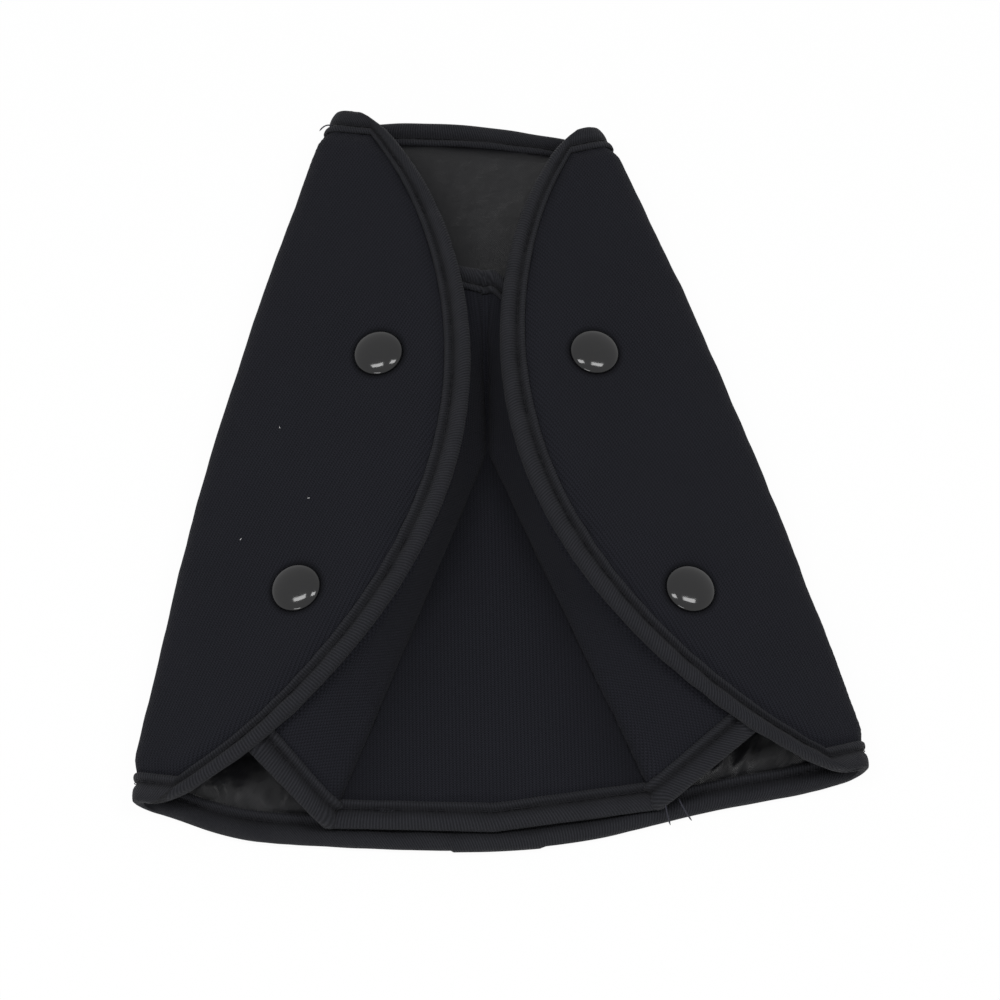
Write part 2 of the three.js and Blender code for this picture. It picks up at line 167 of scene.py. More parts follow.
def smooth(x, low, high):
    t = np.clip((np.asarray(x, float) - low) / (high - low), 0, 1)
    return t * t * (3 - 2 * t)


def outward(side):
    """Direction out of the pad, square to a fold, in plan."""
    (tx, ty), (bx, by) = FOLDS[side]
    run = np.array([tx - bx, ty - by]) / math.hypot(tx - bx, ty - by)
    return np.array([-run[1], run[0]]) if side < 0 else np.array([run[1], -run[0]])


def back_end(side, t):
    """Where the back stops and the fold starts, in plan."""
    (tx, ty), (bx, by) = FOLDS[side]
    pull = CORNER_PULL * (1 - smooth(LENGTH * np.minimum(t, 1 - t), -CORNER_REACH / 2, CORNER_REACH))
    bow = FOLD_BOW[side] * np.sin(np.pi * np.clip(t, 0, 1)) - FOLD_RADIUS - pull
    o = outward(side)
    return lerp(bx, tx, t) + bow * o[0], lerp(by, ty, t) + bow * o[1]


def half_back(t):
    left, right = back_end(-1, t), back_end(1, t)
    return np.hypot(right[0] - left[0], right[1] - left[1]) / 2


def sweep_at(side, t):
    """Flat cloth past the start of a fold."""
    power = math.log(0.5) / math.log(1 - WING_PEAK)
    along = np.clip(1 - np.asarray(t, float), 0, 1) ** power
    hump = np.maximum(np.sin(np.pi * along), 0) ** WING_FULLNESS
    return CORNER_LIP + (WING_SWEEP[side] - CORNER_LIP) * hump


def edge_at(side, t):
    return half_back(t) + sweep_at(side, t)


def shell_point(s, t):
    """Outer surface of the shell at flat distance s across and share t along."""
    s, t = np.broadcast_arrays(np.asarray(s, float), np.asarray(t, float))
    half = half_back(t)
    past = np.maximum(np.abs(s) - half, 0)
    left, right = back_end(-1, t), back_end(1, t)
    u = np.clip(s / half, -1, 1)
    x = lerp(left[0], right[0], (1 + u) / 2)
    bow = TOP_CROWN * smooth(t, TOP_CROWN_START, 1) - BOTTOM_SAG * (1 - t)
    y = lerp(left[1], right[1], (1 + u) / 2) + bow * (1 - u * u)
    for side, (rise, skew) in BOTTOM_EASE.items():
        hump = np.sin(np.pi * np.clip(side * u, 0, 1) ** skew) ** 2
        y = y + rise * hump * (1 - smooth(t, 0, BOTTOM_EASE_END))
    turned = np.pi - np.radians(lerp(WING_RISE_BOTTOM, WING_RISE_TOP, t))
    end = FOLD_RADIUS * turned
    bend = math.radians(WING_ARCH) / (np.where(s < 0, WING_SWEEP[-1], WING_SWEEP[1]) - end)
    angle = turned + bend * (past - end)
    on_fold = past <= end
    r = np.where(
        on_fold,
        FOLD_RADIUS * np.sin(past / FOLD_RADIUS),
        FOLD_RADIUS * np.sin(turned) + (np.sin(angle) - np.sin(turned)) / bend,
    )
    z = np.where(
        on_fold,
        FOLD_RADIUS * (1 - np.cos(past / FOLD_RADIUS)),
        FOLD_RADIUS * (1 - np.cos(turned)) + (np.cos(turned) - np.cos(angle)) / bend,
    )
    out_left, out_right = outward(-1), outward(1)
    ox = np.where(s < 0, out_left[0], out_right[0])
    oy = np.where(s < 0, out_left[1], out_right[1])
    return np.stack([x + ox * r, y + oy * r, z], -1)


def offset(surface, s, t, depth):
    """Points moved into the pad, square to its surface."""
    ds, dt = 0.4, 0.002
    across = surface(s + ds, t) - surface(s - ds, t)
    along = surface(s, t + dt) - surface(s, t - dt)
    n = np.cross(across, along)
    n /= np.maximum(np.linalg.norm(n, axis=-1, keepdims=True), 1e-9)
    return surface(s, t) + n * np.asarray(depth, float)[..., None]


def crease_at(side, t):
    """Place of a crease on the panel's underside."""
    x, low = CREASE_FOOT[side]
    y = lerp(low, PANEL_TOP, t)
    share = np.clip((CREASE_APEX_Y - y) / (CREASE_APEX_Y - low), 0, 1)
    return np.array([lerp(CREASE_APEX_X + side * CREASE_APEX_HALF, x, share), y, PANEL_LIFT])


def flap_depth(inset):
    return lerp(FLAP_EDGE_DROP, FLAP_DEPTH, smooth(inset, TAPE_WIDTH / 2, TAPE_WIDTH * 1.4))


def round_corners(points):
    """Replaces the two creases of a flap's section by smooth bends."""
    out = [points[0]]
    for before, p, after in zip(points, points[1:], points[2:]):
        reach = min(FLAP_ROUND, np.linalg.norm(before - p) / 2, np.linalg.norm(after - p) / 2)
        a = p + (before - p) / np.linalg.norm(before - p) * reach
        b = p + (after - p) / np.linalg.norm(after - p) * reach
        for k in np.linspace(0, 1, 7):
            out.append((1 - k) ** 2 * a + 2 * k * (1 - k) * p + k * k * b)
    out.append(points[-1])
    return np.array(out)


def flap_points(side, t):
    """Underside of a flap from the wing's edge inwards, at share t of the panel."""
    wing_t = lerp(PANEL_LOW, PANEL_HIGH, t)
    tuck = min(FLAP_TUCK, FLAP_TUCK_SHARE * float(sweep_at(side, wing_t) - FOLD_RADIUS * math.pi))
    inset = TAPE_WIDTH / 2 + tuck * FLAP_SHARES
    place = side * (float(edge_at(side, wing_t)) - inset)
    room = shell_point(place, wing_t)[:, 2] - PANEL_LIFT - FLAP_ROOM * PANEL_THICK
    depth = np.minimum(flap_depth(inset), room) + PANEL_THICK
    return offset(shell_point, place, np.full(len(inset), wing_t), depth)


def panel_row(t):
    """Section of the panel's underside at share t: lengths and points from the middle out, each side."""
    middle = (crease_at(-1, t) + crease_at(1, t)) / 2
    neck = NECK_LEVEL * float(smooth(middle[1], CREASE_APEX_Y, PANEL_TOP))
    flaps = {side: flap_points(side, t) for side in (-1, 1)}
    level = lerp(PANEL_LIFT, (flaps[-1][0][2] + flaps[1][0][2]) / 2, neck)
    middle = np.array([middle[0], middle[1] - PANEL_SAG * (1 - t), level])
    row = {}
    for side, under in flaps.items():
        crease = crease_at(side, t)
        crease[2] = level
        foot = crease + (1 - neck) * np.array([side * CREASE_STEP, 0, CREASE_RISE])
        points = round_corners([middle, crease, foot, *under])
        lengths = np.concatenate([[0], np.cumsum(np.linalg.norm(np.diff(points, axis=0), axis=1))])
        bend = float(np.linalg.norm(crease - middle) + np.linalg.norm(under[0] - crease))
        row[side] = (lengths, points, bend)
    return row


class Sections:
    """The panel's sections, worked out once at even steps and blended between them."""

    steps = 500
    margin = 0.01

    def __init__(self):
        self.shares = np.arange(-self.margin, 1 + self.margin * 1.01, 1 / self.steps)
        rows = [panel_row(float(t)) for t in self.shares]
        self.lengths = {side: np.array([row[side][0] for row in rows]) for side in (-1, 1)}
        self.points = {side: np.array([row[side][1] for row in rows]) for side in (-1, 1)}
        self.bends = {side: np.array([row[side][2] for row in rows]) for side in (-1, 1)}

    def between(self, t):
        """Row below each t and the share of the way to the next."""
        place = np.clip((t + self.margin) * self.steps, 0, len(self.shares) - 1.001)
        low = place.astype(int)
        return low, place - low

    def span(self, side, t):
        """Half length of the section and the place of the flap's bend."""
        half = np.interp(t, self.shares, self.lengths[side][:, -1])
        return half, np.interp(t, self.shares, self.bends[side])


sections = Sections()


def panel_point(s, t):
    """Underside of the inner panel at flat distance s across and share t along."""
    s, t = np.broadcast_arrays(np.asarray(s, float), np.asarray(t, float))
    out = np.empty(s.shape + (3,))
    for side in (-1, 1):
        mask = (s < 0) if side < 0 else (s >= 0)
        if not mask.any():
            continue
        low, k = sections.between(t[mask])
        lengths, points = sections.lengths[side], sections.points[side]
        marks = lerp(lengths[low], lengths[low + 1], k[:, None])
        d = np.abs(s[mask])
        i = np.clip((marks < d[:, None]).sum(1), 1, marks.shape[1] - 1)
        n = np.arange(len(d))
        share = (d - marks[n, i - 1]) / (marks[n, i] - marks[n, i - 1])
        before = lerp(points[low, i - 1], points[low + 1, i - 1], k[:, None])
        after = lerp(points[low, i], points[low + 1, i], k[:, None])
        out[mask] = lerp(before, after, share[:, None])
    return out


def inset_line(named, width):
    """Distance of a grid line from the edge, less than named where the cloth is narrow."""
    return named / np.hypot(1, named / width)


class Shell:
    """The folded outer pad as a grid: rows along it and columns across it."""

    surface = staticmethod(shell_point)
    length = LENGTH
    lapped = 1.0

    @staticmethod
    def folded(s, t):
        """From 0 on the flat to 1 round a fold."""
        past = np.abs(s) - half_back(t)
        return smooth(past, -3, 2) * (1 - smooth(past, 3 * FOLD_RADIUS - 3, 3 * FOLD_RADIUS + 3))

    @staticmethod
    def edge(t, e):
        """Half flat width at distance e in from the edge, on the left and on the right."""
        t = np.clip(t, 0, 1)
        return [edge_at(side, t) - inset_line(e, sweep_at(side, t) - FOLD_END) for side in (-1, 1)]


class Panel:
    """The inner panel as the same kind of grid."""

    surface = staticmethod(panel_point)
    length = PANEL_LENGTH
    lapped = 0.0

    @staticmethod
    def folded(s, t):
        """The panel's own edge has no round fold."""
        return np.zeros(np.broadcast(s, t).shape)

    @staticmethod
    def edge(t, e):
        """Half flat width at distance e in from the edge, on the left and on the right."""
        sides = []
        for side in (-1, 1):
            half, bend = sections.span(side, np.clip(t, 0, 1))
            sides.append(half - inset_line(e, (half - bend) * FLAP_LINES))
        return sides


def press(e):
    """How far the plies are pressed together, from 1 under the tape to 0 inside."""
    return 1 - smooth(e, TAPE_WIDTH + PRESS_START, TAPE_WIDTH + PRESS_END)


def waves(seed, count, shortest, longest):
    """A repeatable soft ripple over the cloth, from minus one to one."""
    rng = np.random.default_rng(seed)
    size = rng.uniform(shortest, longest, count)
    turn = rng.uniform(0, 2 * np.pi, count)
    phase = rng.uniform(0, 2 * np.pi, count)

    def height(x, y):
        total = np.zeros(np.broadcast(x, y).shape)
        for w, a, p in zip(size, turn, phase):
            total += np.sin(2 * np.pi / w * (x * math.cos(a) + y * math.sin(a)) + p)
        return total / math.sqrt(count)

    return height


def grid_lines(pad, edges, step, span_count):
    """Rows along the pad, and shares across it from minus one to one."""
    low = np.concatenate([edges, np.arange(edges[-1] + step, pad.length / 2, step)])
    rows = np.concatenate([low, (pad.length - low)[::-1]])
    return rows, np.linspace(-1, 1, span_count)


def across(pad, t, share, e):
    """Flat place at a share of the width, at distance e in from the edge."""
    left, right = pad.edge(t, e)
    return np.where(share < 0, share * left, share * right)


def closed_mesh(name, points, faces, uv=None):
    """A closed mesh object in metres from points in millimetres, with a map of flat cloth in metres."""
    mesh = bpy.data.meshes.new(name)
    mesh.from_pydata((np.asarray(points) * MM).tolist(), [], faces)
    if uv is not None:
        layer = mesh.uv_layers.new(name="cloth")
        corner = np.empty(len(mesh.loops), int)
        mesh.loops.foreach_get("vertex_index", corner)
        layer.data.foreach_set("uv", (np.asarray(uv)[corner] * MM).ravel())
    mesh.validate()
    mesh.polygons.foreach_set("use_smooth", [True] * len(mesh.polygons))
    bm = bmesh.new()
    bm.from_mesh(mesh)
    bmesh.ops.recalc_face_normals(bm, faces=bm.faces)
    bm.to_mesh(mesh)
    bm.free()
    piece = bpy.data.objects.new(name, mesh)
    bpy.context.scene.collection.objects.link(piece)
    return piece


def slab(name, pad, first, last, step=2.0, span_count=180):
    """A closed ply of a pad between two faces.

    Each face is a depth. It is worked out from the flat place, the place along the nearest edge
    and the distance in from that edge.
    """
    rows, shares = grid_lines(pad, EDGE_LINES, step, span_count)
    t = (rows / pad.length)[:, None] * np.ones_like(shares)[None, :]
    left, right = pad.edge(rows / pad.length, PLY_INSET)
    s = np.where(shares < 0, shares * left[:, None], shares * right[:, None])
    gap = np.where(s < 0, left[:, None] + s, right[:, None] - s) + PLY_INSET
    end = np.minimum(rows, pad.length - rows)[:, None]
    e = np.minimum(gap, end)
    y = t * pad.length
    along = np.where(gap < end, y, s)
    levels = [offset(pad.surface, s, t, depth(s, y, along, e)) for depth in (first, last)]
    count, wide = s.shape
    index = np.arange(count * wide).reshape(count, wide)
    a, b, c, d = (x.ravel() for x in (index[:-1, :-1], index[1:, :-1], index[1:, 1:], index[:-1, 1:]))
    far = count * wide
    faces = [np.stack([a, b, c, d], 1), np.stack([a + far, d + far, c + far, b + far], 1)]
    rim = np.concatenate([index[0, :], index[1:, -1], index[-1, -2::-1], index[-2:0:-1, 0]])
    following = np.roll(rim, -1)
    faces.append(np.stack([rim, following, following + far, rim + far], 1))
    flat = np.stack([s.ravel(), y.ravel()], 1)
    points = np.concatenate([level.reshape(-1, 3) for level in levels])
    return closed_mesh(name, points, np.concatenate(faces).tolist(), np.tile(flat, (2, 1)))


def loop_at(pad, e, spacing=1.2):
    """Closed run of flat places at distance e in from the outline, with the same count at every e."""
    wide = int(2 * np.max(pad.edge(np.linspace(0, 1, 9), 0.0)[0]) / spacing)
    tall = int(pad.length / spacing)
    t_low, t_high = e / pad.length, 1 - e / pad.length
    bottom = np.linspace(-1, 1, wide, endpoint=False)
    top = np.linspace(1, -1, wide, endpoint=False)
    up = np.linspace(t_low, t_high, tall, endpoint=False)
    down = np.linspace(t_high, t_low, tall, endpoint=False)
    s = np.concatenate([
        across(pad, t_low, bottom, e),
        across(pad, up, np.ones(tall), e),
        across(pad, t_high, top, e),
        across(pad, down, -np.ones(tall), e),
    ])
    t = np.concatenate([np.full(wide, t_low), up, np.full(wide, t_high), down])
    return s, t


# Half of the tape's section, from its inner edge round to the rim:
# distance in from the rim, and height of the face
TAPE_FACE = (
    (8.15, -0.7), (8.05, -0.1), (7.7, 0.42), (7.15, 0.66), (6.65, 0.5), (6.3, 0.05),
    (5.95, -0.45), (5.3, -0.56), (4.75, -0.4), (4.3, 0.0), (3.7, 0.5), (2.9, 0.85),
    (2.0, 0.85), (1.25, 0.55), (0.65, 0.05), (0.25, -0.55), (0.05, -1.15),
)
# Middle and width of the painted shade along the tape's groove
GROOVE = 5.4
GROOVE_WIDTH = 0.85
FOLD_FLATTEN = 0.7
SWAY = 0.22
LAP = (-15.0, 12.0)
LAP_RISE = 0.45
LAP_STEP = 0.8
TAPE_CORE = ((1.0, 1.7), (1.5, 1.0), (7.9, 0.75))


def lap_at(s, t):
    """One where the tape's ends lap, in the middle of the lower edge, and zero elsewhere."""
    start, end = LAP
    return smooth(s, start, start + LAP_STEP) * (1 - smooth(s, end - LAP_STEP, end)) * (t < 0.5)


def tape_ring(name, pad):
    """The edge tape: one closed section swept round the pad's outline."""
    front = [(e, 0.0, h) for e, h in TAPE_FACE]
    back = [(e, TAPE_DEPTH, -h) for e, h in reversed(TAPE_FACE)]
    core = [(e, TAPE_DEPTH - d, 0.0) for e, d in reversed(TAPE_CORE)]
    core += [(e, d, 0.0) for e, d in TAPE_CORE[1:]]
    section = front + [(0.0, TAPE_DEPTH / 2, 0.0)] + back + core
    ripple = waves(11, 9, 7, 26)
    rings, maps, sunk = [], [], []
    run = None
    width = 0.0
    for k, (e, depth, height) in enumerate(section):
        s, t = loop_at(pad, e)
        lap = lap_at(s, t) * pad.lapped
        t = t - LAP_RISE * lap / pad.length
        if k:
            width += math.hypot(e - section[k - 1][0], depth - section[k - 1][1])
        way = 1 if depth < TAPE_DEPTH / 2 else -1
        full = 1 - FOLD_FLATTEN * pad.folded(s, t) * (height > 0)
        sway = SWAY * ripple(s, t * pad.length) * way * full
        thickened = max(-way, 0) * LAP_RISE * lap
        ring = offset(pad.surface, s, t, depth - height * full - sway + thickened)
        # Painted shade: one along the groove of the tape's section, falling off to either side
        sunk.append(np.full(len(s), math.exp(-(((e - GROOVE) / GROOVE_WIDTH) ** 2))))
        if run is None:
            run = np.concatenate([[0], np.cumsum(np.linalg.norm(np.diff(ring, axis=0), axis=1))])
        rings.append(ring)
        maps.append(np.stack([run, np.full(len(run), width)], 1))
    count, around = len(section), len(run)
    index = np.arange(count * around).reshape(count, around)
    a, b = index, np.roll(index, -1, 0)
    faces = np.stack([a, np.roll(a, -1, 1), np.roll(b, -1, 1), b], -1).reshape(-1, 4)
    piece = closed_mesh(name, np.concatenate(rings), faces.tolist(), np.concatenate(maps))
    sewn_and_groove_shade = piece.data.attributes.new("sewn_and_groove_shade", "FLOAT", "POINT")
    sewn_and_groove_shade.data.foreach_set("value", np.concatenate(sunk))
    return piece


def rod_mesh(points, radius, sides=6):
    """Vertices and faces of a thin rod with rounded ends along points."""
    points = np.asarray(points, float)
    along = np.gradient(points, axis=0)
    along /= np.linalg.norm(along, axis=1, keepdims=True)
    side = np.cross(along, np.array([0.31, 0.17, 0.93]))
    side /= np.linalg.norm(side, axis=1, keepdims=True)
    up = np.cross(along, side)
    count = len(points)
    swell = np.ones(count)
    swell[0] = swell[-1] = 0.35
    angle = np.arange(sides) * 2 * np.pi / sides
    cosine, sine = np.cos(angle)[None, :, None], np.sin(angle)[None, :, None]
    ring = cosine * side[:, None, :] + sine * up[:, None, :]
    verts = (points[:, None, :] + ring * (radius * swell)[:, None, None]).reshape(-1, 3)
    faces = []
    for i in range(count - 1):
        for j in range(sides):
            k = (j + 1) % sides
            faces.append([i * sides + j, i * sides + k, (i + 1) * sides + k, (i + 1) * sides + j])
    ends = [list(range(sides))[::-1], [(count - 1) * sides + j for j in range(sides)]]
    return verts, faces, ends


def rods(name, paths, radius, sides=6):
    """One mesh of many rods."""
    verts, faces, start = [], [], 0
    for path in paths:
        v, f, ends = rod_mesh(path, radius, sides)
        verts.append(v)
        faces += [[i + start for i in face] for face in f + ends]
        start += len(v)
    return closed_mesh(name, np.concatenate(verts), faces)


def stitch_paths(pad, length, gap, seed):
    """Lock stitches in the groove of the tape, on both faces of the pad."""
    s, t = loop_at(pad, STITCH_LINE, spacing=0.7)
    rng = np.random.default_rng(seed)
    paths = []
    for depth in (STITCH_SINK, TAPE_DEPTH - STITCH_SINK):
        line = offset(pad.surface, s, t, np.full(s.shape, depth))
        run = np.concatenate([[0], np.cumsum(np.linalg.norm(np.diff(line, axis=0), axis=1))])
        places = np.arange(0, run[-1] - length, length + gap)
        for place in places:
            slip = rng.uniform(-0.12, 0.12)
            marks = place + slip + length * np.linspace(0, 1, 6)
            sunk = -0.28 * np.abs(np.linspace(-1, 1, 6)) ** 4
            path = np.stack([np.interp(marks, run, line[:, i]) for i in range(3)], 1)
            flat = (np.interp(marks, run, s), np.interp(marks, run, t))
            inner = offset(pad.surface, *flat, np.full(6, TAPE_DEPTH / 2))
            path += (inner - path) / np.linalg.norm(inner - path, axis=1, keepdims=True) * -sunk[:, None]
            paths.append(path)
    return paths


def arc(start, middle, end):
    """Points of a loose thread bent over its middle point."""
    start, middle, end = (np.array(p) for p in (start, middle, end))
    return [(1 - k) ** 2 * start + 2 * k * (1 - k) * middle + k * k * end for k in np.linspace(0, 1, 9)]


def snap_matrix(side, t, inset):
    """Place of a press stud on the front of the wing, with +Z out of it."""
    s = side * (float(edge_at(side, t)) - inset)
    front = shell_point(s, t)
    out = Vector(front - offset(shell_point, s, t, 1.0))
    turn = Vector((0, 0, 1)).rotation_difference(out.normalized())
    return Matrix.Translation(Vector(front) * MM) @ turn.to_matrix().to_4x4()


def deselect():
    if bpy.context.object and bpy.context.object.mode != "OBJECT":
        bpy.ops.object.mode_set(mode="OBJECT")
    bpy.ops.object.select_all(action="DESELECT")


def keep(piece):
    """A finished piece rides on the pad's one body."""
    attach(piece, BODY)
    return piece


class Value:
    """A number that a finish works out over the surface. Sums and products of these add Math nodes."""

    def __init__(self, finish, socket):
        self.finish = finish
        self.socket = socket

    def _with(self, operation, *terms):
        return self.finish.math(operation, *terms)

    def __add__(self, other):
        return self._with("ADD", self, other)

    __radd__ = __add__

    def __sub__(self, other):
        return self._with("SUBTRACT", self, other)

    def __rsub__(self, other):
        return self._with("SUBTRACT", other, self)

    def __mul__(self, other):
        return self._with("MULTIPLY", self, other)

    def __truediv__(self, other):
        return self._with("DIVIDE", self, other)

    def sine(self):
        return self._with("SINE", self)

    def fraction(self):
        return self._with("FRACT", self)

    def size(self):
        return self._with("ABSOLUTE", self)


class Finish:
    """A material under construction."""

    def __init__(self, name, roughness, **uniform):
        self.material = bpy.data.materials.new(name)
        self.material.use_nodes = True
        self.tree = self.material.node_tree
        self.shader = self.tree.nodes["Principled BSDF"]
        self.shader.inputs["Roughness"].default_value = roughness
        for socket, number in uniform.items():
            self.shader.inputs[socket.replace("_", " ")].default_value = number

    def node(self, kind, settings=None, inputs=None):
        made = self.tree.nodes.new(kind)
        for key, value in (settings or {}).items():
            setattr(made, key, value)
        for key, value in (inputs or {}).items():
            self.feed(made.inputs[key], value)
        return made

    def feed(self, socket, value):
        if isinstance(value, Value):
            value = value.socket
        if isinstance(value, bpy.types.NodeSocket):
            self.tree.links.new(value, socket)
        else:
            socket.default_value = value

    def math(self, operation, *terms):
        made = self.node("ShaderNodeMath", {"operation": operation}, dict(enumerate(terms)))
        return Value(self, made.outputs[0])

    def cloth_place(self):
        """Flat cloth coordinates, in millimetres."""
        flat = self.node("ShaderNodeUVMap", {"uv_map": "cloth"})
        split = self.node("ShaderNodeSeparateXYZ", inputs={0: flat.outputs[0]})
        return Value(self, split.outputs[0]) * 1000, Value(self, split.outputs[1]) * 1000

    def place(self):
        """Place on the object, in metres, as one vector."""
        return self.node("ShaderNodeTexCoord").outputs["Object"]

    def speckle(self, scale, detail=2.0, stretch=(1, 1, 1)):
        """Soft noise over the object, from 0 to 1, with scale in cells per metre."""
        turned = self.node("ShaderNodeMapping", inputs={"Vector": self.place(), "Scale": stretch})
        noise = self.node(
            "ShaderNodeTexNoise", inputs={"Vector": turned.outputs[0], "Scale": scale, "Detail": detail}
        )
        return Value(self, noise.outputs["Fac"])

    def blend(self, share, low, high):
        """Colour between two colours."""
        made = self.node("ShaderNodeMix", {"data_type": "RGBA"}, {0: share, 6: (*low, 1), 7: (*high, 1)})
        return made.outputs[2]

    def color(self, value):
        self.feed(self.shader.inputs["Base Color"], value)

    def roughness(self, value):
        self.feed(self.shader.inputs["Roughness"], value)

    def bump(self, height, depth):
        """Relief of the given depth, in metres."""
        made = self.node("ShaderNodeBump", inputs={"Height": height, "Distance": depth, "Strength": 1.0})
        self.feed(self.shader.inputs["Normal"], made.outputs[0])


def shade(color, level):
    return tuple(channel * level for channel in color)


TURN = 2 * math.pi


def painted_cap_shadow(finish):
    """One in a painted shadow ring right beside a press stud's cap, and zero elsewhere."""
    near = 1.0
    for side, share, inset in SNAPS.values():
        middle = snap_matrix(side, share, inset).translation
        ends = {0: finish.place(), 1: middle}
        gap = finish.node("ShaderNodeVectorMath", {"operation": "DISTANCE"}, ends)
        near = finish.math("MINIMUM", near, Value(finish, gap.outputs["Value"]))
    start, end = CAP_SHADOW_RING
    return finish.math("SMOOTH_MIN", finish.math("MAXIMUM", (end - near) / (end - start), 0.0), 1.0, 0.1)


def painted_crease_shade(finish):
    """Painted shade along the panel's two creases, darkest in the valley, and painted light up the flap.
    """
    split = finish.node("ShaderNodeSeparateXYZ", inputs={0: finish.place()})
    x, y = Value(finish, split.outputs[0]) / MM, Value(finish, split.outputs[1]) / MM
    inside = 1000.0
    for side in (-1, 1):
        foot_x, foot_y = CREASE_FOOT[side]
        apex_x = CREASE_APEX_X + side * CREASE_APEX_HALF
        run = math.hypot(apex_x - foot_x, CREASE_APEX_Y - foot_y)
        to_x, to_y = (CREASE_APEX_Y - foot_y) / run, (foot_x - apex_x) / run
        away = ((x - foot_x) * to_x + (y - foot_y) * to_y) * -side - CREASE_FRONT
        inside = finish.math("MINIMUM", inside, away)
    valley = finish.math("GREATER_THAN", inside, 0.0)
    fall = finish.math("POWER", 0.5, inside.size() / (valley * 4.0 + 2.0))
    return fall * (valley * 0.8 - 0.25)


def knit_finish(name, settings, painted_shade):
    """Fine black knit: columns of small vee loops, darkened by painted shade where the given shade says.
    """
    finish = Finish(name, 0.9, Sheen_Weight=0.02, Sheen_Roughness=0.5, Specular_IOR_Level=0.06)
    u, v = finish.cloth_place()
    cell = (u / (settings.wale / MM)).fraction()
    vee = (cell - 0.5).size() * 2
    loop = ((v / (settings.course / MM) + vee * 0.8) * TURN).sine() * 0.5 + 0.5
    column = (cell * math.pi).sine()
    height = loop * 0.6 + column * 0.4
    worn = finish.speckle(38, 3) * 0.3 + 0.85
    dark, light = shade(settings.color, 0.35), shade(settings.color, 1.2)
    # Painted shade: the loops' colour is darkened where the given shade is above zero, and lightened as
    # painted light where it is below
    finish.color(finish.blend(height * worn * (1 - painted_shade(finish)), dark, light))
    finish.roughness(0.95 - height * 0.12)
    finish.bump(height + finish.speckle(2600, 1) * 0.35, 0.00016)
    return finish.material


def satin_finish(name, settings):
    """Lining with the sheen of a fine twill."""
    finish = Finish(name, 0.36, Specular_IOR_Level=0.24, Sheen_Weight=0.02)
    u, v = finish.cloth_place()
    twill = (((u + v * 0.9) / 0.55) * TURN).sine() * 0.5 + 0.5
    crumple = finish.speckle(140, 3, (1, 1.6, 1))
    dark, light = shade(settings.lining_color, 0.08), shade(settings.lining_color, 0.38)
    finish.color(finish.blend(twill * 0.55 + crumple * 0.45, dark, light))
    finish.roughness(0.26 + crumple * 0.2)
    finish.bump(twill * 0.22 + crumple * 1.4, 0.0004)
    return finish.material


def tape_finish(name, settings):
    """Woven tape with slanting cross ribs, and painted shade along its groove."""
    finish = Finish(name, 0.8, Sheen_Weight=0.03, Specular_IOR_Level=0.12)
    u, v = finish.cloth_place()
    rib = (((u + v * 0.35) / (settings.rib_pitch / MM)) * TURN).sine() * 0.5 + 0.5
    fuzz = finish.speckle(1400, 2)
    patchy = finish.speckle(120, 2)
    # The tape's groove is darkened with painted shade, read from the mesh
    painted_shade = finish.node("ShaderNodeAttribute", {"attribute_name": "sewn_and_groove_shade"})
    sunk = Value(finish, painted_shade.outputs["Fac"])
    crest = rib * 0.4 + fuzz * 0.25 + patchy * 0.35
    dark, light = shade(settings.color, 0.3), shade(settings.color, 1.5)
    finish.color(finish.blend(crest * (1 - sunk * 0.9), dark, light))
    finish.roughness(0.9 - rib * 0.2)
    finish.bump(rib * (patchy * 0.8 + 0.2) + fuzz * 0.6, 0.00026)
    return finish.material


def thread_finish(name, color):
    """Twisted sewing thread."""
    finish = Finish(name, 0.6, Sheen_Weight=0.03, Specular_IOR_Level=0.12)
    twist = finish.speckle(3200, 1, (1, 1, 2.5))
    finish.color(finish.blend(twist, shade(color, 0.7), shade(color, 1.3)))
    finish.bump(twist, 0.00008)
    return finish.material


def gloss_finish(name, color):
    """Polished black cap with faint rubbed marks."""
    finish = Finish(name, 0.1, Coat_Weight=0.2, Coat_Roughness=0.06, Specular_IOR_Level=0.32)
    rub = finish.speckle(420, 4, (1, 5, 1))
    finish.color(finish.blend(rub, shade(color, 0.3), shade(color, 0.5)))
    finish.roughness(rub * 0.12 + 0.05)
    finish.bump(rub, 0.00001)
    return finish.material


def resin_finish(name, color):
    """Moulded black resin with a fine mould grain."""
    finish = Finish(name, 0.45)
    grain = finish.speckle(2200, 2)
    finish.color(finish.blend(grain, shade(color, 0.8), shade(color, 1.25)))
    finish.roughness(grain * 0.2 + 0.35)
    finish.bump(grain, 0.00003)
    return finish.material


def dress(piece, material):
    piece.data.materials.clear()
    piece.data.materials.append(material)


SLOT_COLOR = {m["slot"]: tuple(m["base_color"]) for m in frame["record"]["materials"]}


def tint(name, description, default):
    return bpy.props.FloatVectorProperty(
        name=name, description=description, default=default, size=3, min=0, max=1, subtype="COLOR"
    )


def size(name, description, default):
    return bpy.props.FloatProperty(
        name=name,
        description=description,
        default=default,
        min=0,
        unit="LENGTH",
        subtype="DISTANCE",
        precision=5,
    )


def number(name, description, default):
    return bpy.props.FloatProperty(name=name, description=description, default=default, min=0)


def angle(name, description, degrees):
    return bpy.props.FloatProperty(
        name=name, description=description, default=math.radians(degrees), subtype="ANGLE"
    )


class PadClothSettings(bpy.types.PropertyGroup):
    """Knit, padding and lining."""

    color: tint("Knit colour", "Colour of the outer cloth", SLOT_COLOR["knit_cloth"])
    lining_color: tint("Lining colour", "Colour of the satin lining", SLOT_COLOR["satin_lining"])
    wale: size("Column width", "Width of one column of knit loops", 0.00105)
    course: size("Row height", "Height of one row of knit loops", 0.0007)
    puff: size("Puff", "How far the wings swell between their tape and studs", 0.0012)
    pucker: size("Pucker", "Height of the small puckers beside the tape", 0.00025)


